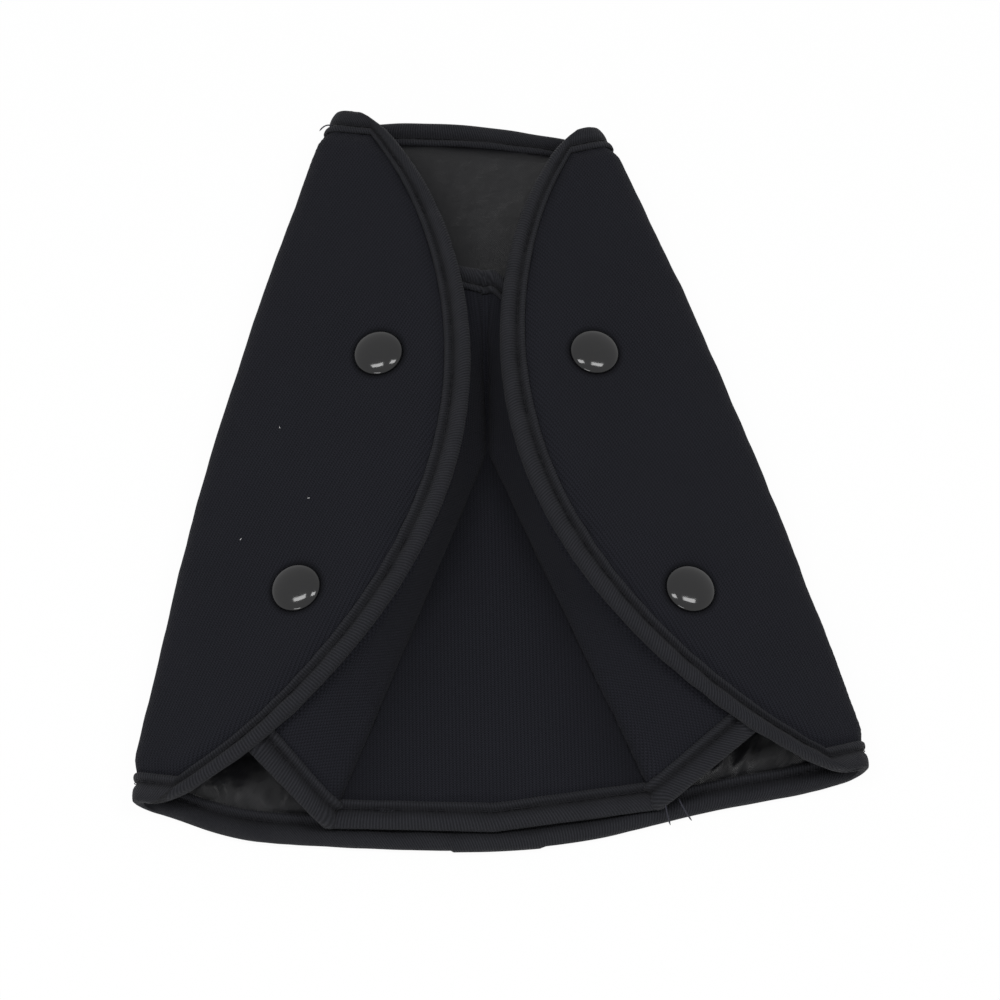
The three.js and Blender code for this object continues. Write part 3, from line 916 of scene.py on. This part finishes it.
class PadTapeSettings(bpy.types.PropertyGroup):
    """Edge tape and sewing thread."""

    color: tint("Tape colour", "Colour of the ribbed tape", SLOT_COLOR["edge_tape"])
    thread_color: tint("Thread colour", "Colour of the sewing thread", (0.006, 0.006, 0.008))
    rib_pitch: size("Rib pitch", "Distance from one rib of the tape to the next", 0.00085)
    stitch: size("Stitch length", "Length of one stitch that shows", 0.0024)
    stitch_gap: size("Stitch gap", "Gap between two stitches", 0.0007)
    thread: size("Thread radius", "Half the thickness of the thread", 0.00016)


class PadStudSettings(bpy.types.PropertyGroup):
    """Press studs."""

    cap_color: tint("Cap colour", "Colour of the glossy caps", SLOT_COLOR["stud_cap"])
    resin_color: tint("Resin colour", "Colour of the hidden halves", SLOT_COLOR["stud_resin"])
    cap_radius: size("Cap radius", "Half the width of a cap", 0.0075)
    cap_height: size("Cap height", "Height of a cap over the cloth", 0.0033)


class PadStageSettings(bpy.types.PropertyGroup):
    """Camera, floor and lamps."""

    distance: size("Camera distance", "From the camera to the middle of the pad", 0.9)
    lens: number("Lens", "Focal length in millimetres", 108.2)
    elevation: angle("Elevation", "Height of the camera over the table", 69)
    turn: angle("Turn", "Camera's turn round the pad", -1)
    world: number("Room light", "Strength of the room's even light", 0.4)
    key: number("Strip lamps", "Power of each strip lamp, in watts", 3.3)
    front: number("Front lamp", "Power of the low front lamp, in watts", 1.8)


SETTINGS = {
    "pad_cloth": PadClothSettings,
    "pad_tape": PadTapeSettings,
    "pad_studs": PadStudSettings,
    "pad_stage": PadStageSettings,
}


def swell(settings, seed):
    """How far the shell's outer face stands proud of its plain surface, in millimetres."""
    broad, small = waves(seed, 8, 45, 110), waves(seed + 1, 10, 9, 24)
    puff, pucker = settings.puff / MM, settings.pucker / MM

    def proud(s, y, along, e):
        t = y / LENGTH
        loose = 1 - press(e)
        wing = smooth(np.abs(s) - half_back(t), FOLD_RADIUS * 1.5, FOLD_RADIUS * 4.5)
        near = np.full(s.shape, 1e9)
        for side, share, inset in SNAPS.values():
            place = side * (float(edge_at(side, share)) - inset)
            near = np.minimum(near, np.hypot(s - place, y - share * LENGTH))
        held = np.exp(-((near / HELD_REACH) ** 2))
        rise = puff * wing * loose * (1 - held) - HELD_DEPTH * held
        rise += loose * (0.22 * broad(s, y) + 0.1 * small(s, y)) * (1 - held)
        beside = np.exp(-np.maximum(e - TAPE_WIDTH, 0) / 3.5)
        beside = beside * smooth(e, TAPE_WIDTH - 1, TAPE_WIDTH + 1.5)
        return rise + pucker * beside * np.sin(along * 1.15 + 1.7 * small(y, s))

    return proud


def backdrop_rays(tree):
    """One for rays that show the backdrop: straight to the camera, mirrored or through glass."""
    rays = tree.nodes.new("ShaderNodeLightPath")
    seen = rays.outputs["Is Camera Ray"]
    for kind in ("Is Glossy Ray", "Is Transmission Ray"):
        both = tree.nodes.new("ShaderNodeMath")
        both.operation, both.use_clamp = "ADD", True
        tree.links.new(seen, both.inputs[0])
        tree.links.new(rays.outputs[kind], both.inputs[1])
        seen = both.outputs[0]
    return seen


# Point that the camera looks at, level of the floor, and how much of its shade the glow covers
TARGET = Vector((1.0, -12.0, 8.0)) * MM
FLOOR_LEVEL = -0.001
FLOOR_GLOW = 0.96
# Lamps: place, width and length
LAMPS = {
    "lamp_left": ((-0.36, -0.06, 0.97), (0.2, 0.46)),
    "lamp_right": ((0.41, -0.06, 0.95), (0.2, 0.46)),
    "lamp_front": ((-0.3, -0.92, 0.44), (0.4, 0.2)),
}


class PAD_OT_stage(bpy.types.Operator):
    """Sets the camera, the white floor and the lamps."""

    bl_idname = "pad.stage"
    bl_label = "Stage"

    def execute(self, context):
        stage = context.scene.pad_stage
        deselect()
        e, a = stage.elevation, stage.turn
        back = Vector((math.sin(a) * math.cos(e), -math.cos(a) * math.cos(e), math.sin(e)))
        bpy.ops.object.camera_add(location=TARGET + back * stage.distance)
        camera = context.object
        camera.name = "camera"
        camera.data.lens = stage.lens
        right = Vector((math.cos(a), math.sin(a), 0))
        up = back.cross(right)
        camera.rotation_euler = Matrix((right, up, back)).transposed().to_euler()
        context.scene.camera = camera
        context.scene.view_settings.view_transform = "Standard"
        self.floor()
        self.lamps(stage)
        return {"FINISHED"}

    def floor(self):
        deselect()
        bpy.ops.mesh.primitive_plane_add(size=6, location=(0, 0, FLOOR_LEVEL))
        floor = bpy.context.object
        floor.name = "floor"
        bpy.ops.object.mode_set(mode="EDIT")
        bpy.ops.mesh.select_all(action="SELECT")
        bpy.ops.mesh.subdivide(number_cuts=3)
        bpy.ops.object.mode_set(mode="OBJECT")
        finish = Finish("white_floor", 0.9)
        finish.shader.inputs["Base Color"].default_value = (0.93, 0.93, 0.93, 1)
        glow = finish.node("ShaderNodeEmission", inputs={"Color": (1, 1, 1, 1), "Strength": 1.0})
        seen = Value(finish, backdrop_rays(finish.tree)) * FLOOR_GLOW
        ends = {0: seen, 1: finish.shader.outputs[0], 2: glow.outputs[0]}
        both = finish.node("ShaderNodeMixShader", inputs=ends)
        output = finish.tree.nodes["Material Output"]
        finish.feed(output.inputs["Surface"], both.outputs[0])
        dress(floor, finish.material)

    def lamps(self, stage):
        world = bpy.data.worlds.new("room")
        bpy.context.scene.world = world
        world.use_nodes = True
        background = world.node_tree.nodes["Background"]
        background.inputs["Color"].default_value = (1, 1, 1, 1)
        mix = world.node_tree.nodes.new("ShaderNodeMix")
        mix.inputs[2].default_value = stage.world
        mix.inputs[3].default_value = 1.0
        world.node_tree.links.new(backdrop_rays(world.node_tree), mix.inputs[0])
        world.node_tree.links.new(mix.outputs[0], background.inputs["Strength"])
        for name, (place, sides) in LAMPS.items():
            deselect()
            bpy.ops.object.light_add(type="AREA", location=place)
            lamp = bpy.context.object
            lamp.name = name
            lamp.data.shape = "RECTANGLE"
            lamp.data.size, lamp.data.size_y = sides
            lamp.data.energy = stage.front if name == "lamp_front" else stage.key
            lamp.rotation_euler = Vector(place).to_track_quat("Z", "Y").to_euler()


class PAD_OT_shell(bpy.types.Operator):
    """Makes the folded outer pad: knit over foam, and its satin lining."""

    bl_idname = "pad.shell"
    bl_label = "Shell"

    def execute(self, context):
        cloth = context.scene.pad_cloth
        proud = swell(cloth, 3)
        crumple, ripple = waves(21, 12, 12, 34), waves(22, 10, 6, 14)

        def top(s, y, along, e):
            return PRESSED_COVER * press(e) - proud(s, y, along, e)

        def bottom(s, y, along, e):
            return lerp(SHELL_THICK - LINING - 0.1, PRESSED_LINING - 0.1, press(e))

        def lining_top(s, y, along, e):
            return lerp(SHELL_THICK - LINING, PRESSED_LINING, press(e))

        def lining_bottom(s, y, along, e):
            loose = smooth(e, TAPE_WIDTH - 1, TAPE_WIDTH + 4)
            close = np.exp(-np.maximum(e - TAPE_WIDTH, 0) / 12)
            low = 1 - smooth(y, 20, 90)
            wave = (0.1 + 0.3 * low) * crumple(s, y)
            wave = wave + (0.05 + 1.7 * close * low) * np.sin(along + 1.6 * ripple(s, y))
            return lining_top(s, y, along, e) + LINING + loose * (0.85 + 0.6 * wave)

        padding = slab("shell_padding", Shell, top, bottom)
        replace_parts(keep(padding), "shell_cover", "shell_foam")
        dress(padding, knit_finish("shell_knit", cloth, painted_cap_shadow))
        self.lint(proud)
        lining = slab("shell_lining_satin", Shell, lining_top, lining_bottom)
        widths = sum(edge_at(side, np.linspace(0, 1, 60)) for side in (-1, 1))
        width = float(np.max(widths)) * MM
        long = (LENGTH + BOTTOM_SAG) * MM
        area = float(np.mean(widths)) * LENGTH * MM * MM
        min(area, width * long)
        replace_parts(keep(lining), "shell_lining")
        dress(lining, satin_finish("lining_satin", cloth))
        return {"FINISHED"}

    def lint(self, proud):
        """Three pale specks caught in the knit of the left wing."""
        paths = []
        for k, (side, share, inset) in enumerate(LINT):
            s = side * (edge_at(side, np.array([share])) - inset)
            rise = float(proud(s, share * LENGTH, 0.0, np.array([inset]))[0])
            place = snap_matrix(side, share, inset)
            turn = Vector((math.cos(2.0 * k), math.sin(2.0 * k), 0)) * LINT_LENGTH * MM / 2
            ends = [place @ (turn * way + Vector((0, 0, (rise + 0.1) * MM))) for way in (-1, 0, 1)]
            paths.append([tuple(end / MM) for end in ends])
        specks = rods("lint_specks", paths, 0.14)
        finish = Finish("pale_lint", 0.9)
        finish.shader.inputs["Base Color"].default_value = (0.5, 0.5, 0.5, 1)
        dress(keep(specks), finish.material)


class PAD_OT_inner(bpy.types.Operator):
    """Makes the creased inner panel with its two flaps."""

    bl_idname = "pad.inner"
    bl_label = "Inner panel"

    def execute(self, context):
        cloth = context.scene.pad_cloth
        broad, small = waves(31, 8, 30, 80), waves(32, 10, 8, 20)
        pucker = cloth.pucker / MM

        def under(s, y, along, e):
            return PRESSED_COVER * press(e)

        def front(s, y, along, e):
            loose = smooth(e, TAPE_WIDTH - 1, TAPE_WIDTH + 5)
            beside = np.exp(-(np.maximum(e - TAPE_WIDTH, 0) / 4)) * loose
            rise = loose * (0.25 * broad(s, y) + 0.12 * small(s, y))
            rise = rise + pucker * beside * np.sin(along * 1.05)
            return lerp(PANEL_THICK, PRESSED_LINING + LINING, press(e)) + rise

        panel = slab("inner_padding", Panel, under, front, step=1.8, span_count=170)
        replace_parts(keep(panel), "inner_cover", "inner_foam", "inner_backing")
        dress(panel, knit_finish("panel_knit", cloth, painted_crease_shade))
        return {"FINISHED"}


class PAD_OT_tapes(bpy.types.Operator):
    """Binds the edges of the shell and the inner panel with ribbed tape, and sews it."""

    bl_idname = "pad.tapes"
    bl_label = "Tape and stitches"

    def execute(self, context):
        tape = context.scene.pad_tape
        ribbed = tape_finish("ribbed_tape", tape)
        thread = thread_finish("black_thread", tape.thread_color)
        for name, pad, seed in (("shell", Shell, 5), ("inner", Panel, 6)):
            ring = tape_ring(f"{name}_tape", pad)
            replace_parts(keep(ring), f"{name}_binding")
            dress(ring, ribbed)
            paths = stitch_paths(pad, tape.stitch / MM, tape.stitch_gap / MM, seed)
            sewn_and_groove_shade = rods(f"{name}_stitches", paths, tape.thread / MM)
            dress(keep(sewn_and_groove_shade), thread)
        cut = rods("loose_thread_ends", [arc(*points) for points in LOOSE_ENDS], LOOSE_THREAD)
        dress(keep(cut), thread_finish("frayed_thread", shade(tape.thread_color, 5)))
        return {"FINISHED"}


class PAD_OT_studs(bpy.types.Operator):
    """Makes the four glossy caps, and finishes the hidden halves of the press studs."""

    bl_idname = "pad.studs"
    bl_label = "Press studs"

    def execute(self, context):
        studs = context.scene.pad_studs
        gloss = gloss_finish("cap_gloss", studs.cap_color)
        resin = resin_finish("stud_resin", studs.resin_color)
        master = self.cap(studs)
        for place, (side, share, inset) in SNAPS.items():
            piece = master.copy()
            piece.data = master.data.copy()
            piece.name = f"{place}_dome"
            context.scene.collection.objects.link(piece)
            piece.data.transform(snap_matrix(side, share, inset))
            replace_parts(keep(piece), f"{place}_cap")
            dress(piece, gloss)
            for half in ("socket", "stud", "rivet"):
                dress(frame["nodes"][f"{place}_{half}"], resin)
        bpy.data.objects.remove(master)
        return {"FINISHED"}

    def cap(self, studs):
        """A domed cap on its post, modelled at the origin."""
        deselect()
        radius = studs.cap_radius
        dome = studs.cap_height - CAP_RIM - CAP_GAP
        middle = (0, 0, CAP_GAP + CAP_RIM / 2)
        bpy.ops.mesh.primitive_cylinder_add(vertices=64, radius=radius, depth=CAP_RIM, location=middle)
        cap = bpy.context.object
        bpy.ops.object.transform_apply(location=True)
        bpy.ops.object.mode_set(mode="EDIT")
        previous, level = 1.0, 0.0
        for share in DOME_RINGS:
            rise = math.sqrt(1 - share * share)
            self.face_up(cap, 1)
            step = (0, 0, (rise - level) * dome)
            bpy.ops.mesh.extrude_region_move(TRANSFORM_OT_translate={"value": step})
            bpy.ops.transform.resize(value=(share / previous, share / previous, 1))
            previous, level = share, rise
        self.face_up(cap, -1)
        bpy.ops.mesh.inset(thickness=radius - POST_RADIUS)
        bpy.ops.mesh.extrude_region_move(TRANSFORM_OT_translate={"value": (0, 0, -POST_LENGTH)})
        bpy.ops.mesh.select_all(action="SELECT")
        bpy.ops.mesh.normals_make_consistent(inside=False)
        bpy.ops.object.mode_set(mode="OBJECT")
        edge = cap.modifiers.new("edge", "BEVEL")
        edge.width, edge.segments = CAP_EDGE, 2
        edge.limit_method, edge.angle_limit = "ANGLE", math.radians(60)
        bpy.ops.object.modifier_apply(modifier="edge")
        bpy.ops.object.shade_smooth_by_angle(angle=math.radians(50))
        return cap

    @staticmethod
    def face_up(cap, way):
        """Selects the face of the cap that looks up (or down) and is furthest that way."""
        bpy.ops.mesh.select_all(action="DESELECT")
        bm = bmesh.from_edit_mesh(cap.data)
        flat = [f for f in bm.faces if f.normal.z * way > 0.99]
        top = max(flat, key=lambda f: f.calc_center_median().z * way)
        top.select_set(True)
        bmesh.update_edit_mesh(cap.data)


class PAD_PT_sidebar(bpy.types.Panel):
    """Lists the steps that build the pad."""

    bl_label = "Belt Pad"
    bl_idname = "PAD_PT_sidebar"
    bl_space_type = "VIEW_3D"
    bl_region_type = "UI"
    bl_category = "Belt Pad"

    def draw(self, context):
        for operator in OPERATORS:
            self.layout.operator(operator.bl_idname)
        for name, group in SETTINGS.items():
            box = self.layout.box()
            box.label(text=group.__doc__)
            for key in group.__annotations__:
                box.prop(getattr(context.scene, name), key)


OPERATORS = (PAD_OT_stage, PAD_OT_shell, PAD_OT_inner, PAD_OT_tapes, PAD_OT_studs)
CLASSES = (*SETTINGS.values(), *OPERATORS, PAD_PT_sidebar)


def register():
    for cls in CLASSES:
        bpy.utils.register_class(cls)
    for name, group in SETTINGS.items():
        setattr(bpy.types.Scene, name, bpy.props.PointerProperty(type=group))


def unregister():
    for name in SETTINGS:
        delattr(bpy.types.Scene, name)
    for cls in reversed(CLASSES):
        bpy.utils.unregister_class(cls)


def main():
    register()
    bpy.ops.pad.stage()
    bpy.ops.pad.shell()
    bpy.ops.pad.inner()
    bpy.ops.pad.tapes()
    bpy.ops.pad.studs()


if __name__ == "__main__":
    main()
